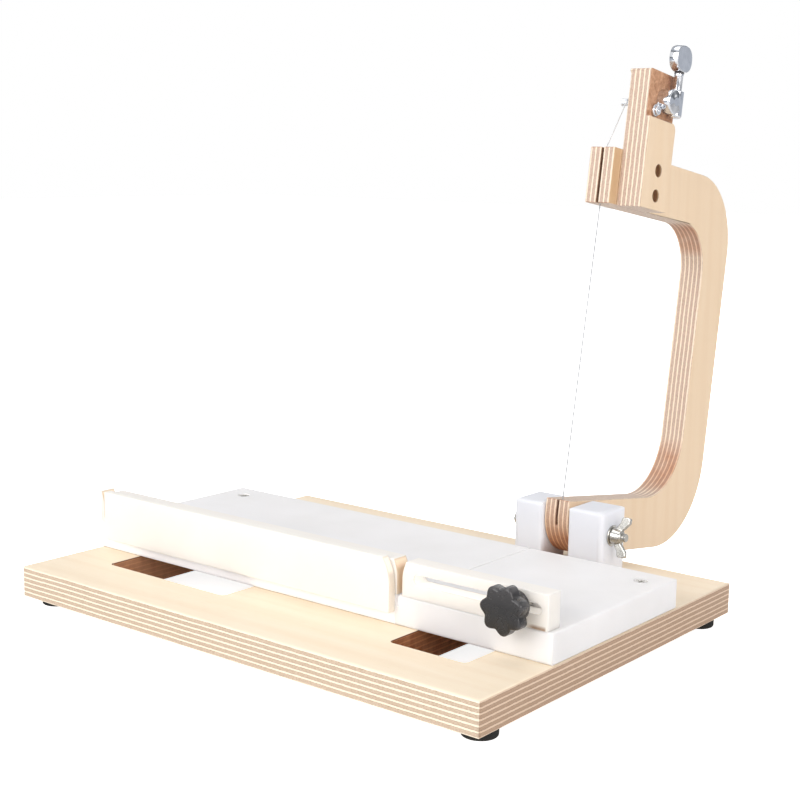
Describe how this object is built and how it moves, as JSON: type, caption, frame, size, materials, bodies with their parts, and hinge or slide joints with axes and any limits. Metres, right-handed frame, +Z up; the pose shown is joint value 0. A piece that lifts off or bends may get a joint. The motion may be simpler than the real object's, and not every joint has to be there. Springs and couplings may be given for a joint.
{
  "type": "soap cutter",
  "caption": "Single-wire soap cutter: plywood base on rubber feet, white plastic bed with slotted fence and sliding stop, and a C-shaped arm that swings a tuner-tensioned wire",
  "frame": {"origin": "middle of the footprint's bounding box, on the surface the feet stand on", "axes": "X runs along the base and the fence, to the right as seen from the fence side; Y runs back from the fence to the pivot and the parked arm; Z is up"},
  "size_m": [0.32, 0.3874, 0.3209],
  "materials": {
    "birch_ply": "sanded 13-ply birch, light and dark plies on the edges",
    "white_plastic": "machined white polyethylene, satin",
    "black_plastic": "moulded black plastic, semi-matt",
    "rubber": "matt black rubber",
    "zinc_steel": "bright zinc-plated steel",
    "chrome": "polished chrome plate",
    "wire_steel": "plain steel wire"
  },
  "bodies": {
    "frame": {"base_board": "birch_ply", "rubber_feet": "rubber", "foot_screws": "zinc_steel", "bed": "white_plastic", "bed_screws": "zinc_steel", "fence_left": "white_plastic", "fence_right": "white_plastic", "front_guide": "white_plastic", "pivot_block_left": "white_plastic", "pivot_block_right": "white_plastic", "pivot_block_screws": "zinc_steel", "pivot_bolt": "zinc_steel", "pivot_washers": "zinc_steel"},
    "arm": {"cutting_arm": "birch_ply", "tuner_block": "birch_ply", "tuner_block_screws": "zinc_steel", "tuner_housing": "chrome", "tuner_ear_screw": "chrome", "tuner_bushing": "chrome", "wire_anchor_pin": "zinc_steel", "cutting_wire": "wire_steel"},
    "wing": {"wing_nut": "zinc_steel"},
    "stop": {"stop_block": "white_plastic"},
    "knob": {"knob": "black_plastic", "knob_stud": "zinc_steel"},
    "button": {"tuner_shaft": "chrome", "button_washer": "black_plastic", "tuner_button": "chrome", "button_screw": "chrome"},
    "post": {"tuner_post": "chrome"}
  },
  "joints": [
    {"name": "arm_swing", "type": "hinge", "parent": "frame", "child": "arm", "pos_m": [0.0675, 0.01783, 0.045], "axis": [1, 0, 0], "range_deg": [-2.5, 101.5]},
    {"name": "wing_spin", "type": "hinge", "parent": "frame", "child": "wing", "pos_m": [0.103, 0.01783, 0.045], "axis": [1, 0, 0], "continuous": true},
    {"name": "stop_slide", "type": "slide", "parent": "frame", "child": "stop", "axis": [1, 0, 0], "range_m": [-0.0565, 0.0105]},
    {"name": "knob_spin", "type": "hinge", "parent": "stop", "child": "knob", "pos_m": [0.1395, -0.14367, 0.04881], "axis": [0, -1, 0], "continuous": true},
    {"name": "button_turn", "type": "hinge", "parent": "arm", "child": "button", "pos_m": [0.0935, 0.08398, 0.30715], "axis": [0, 0.1461, 0.9893], "range_deg": [-1260, 1260]},
    {"name": "post_turn", "type": "hinge", "parent": "arm", "child": "post", "pos_m": [0.074, 0.07339, 0.2885], "axis": [1, 0, 0], "range_deg": [-91.5, 91.5]}
  ],
  "couplings": [
    {"joint": "post_turn", "follows": "button_turn", "ratio": 0.071429}
  ]
}
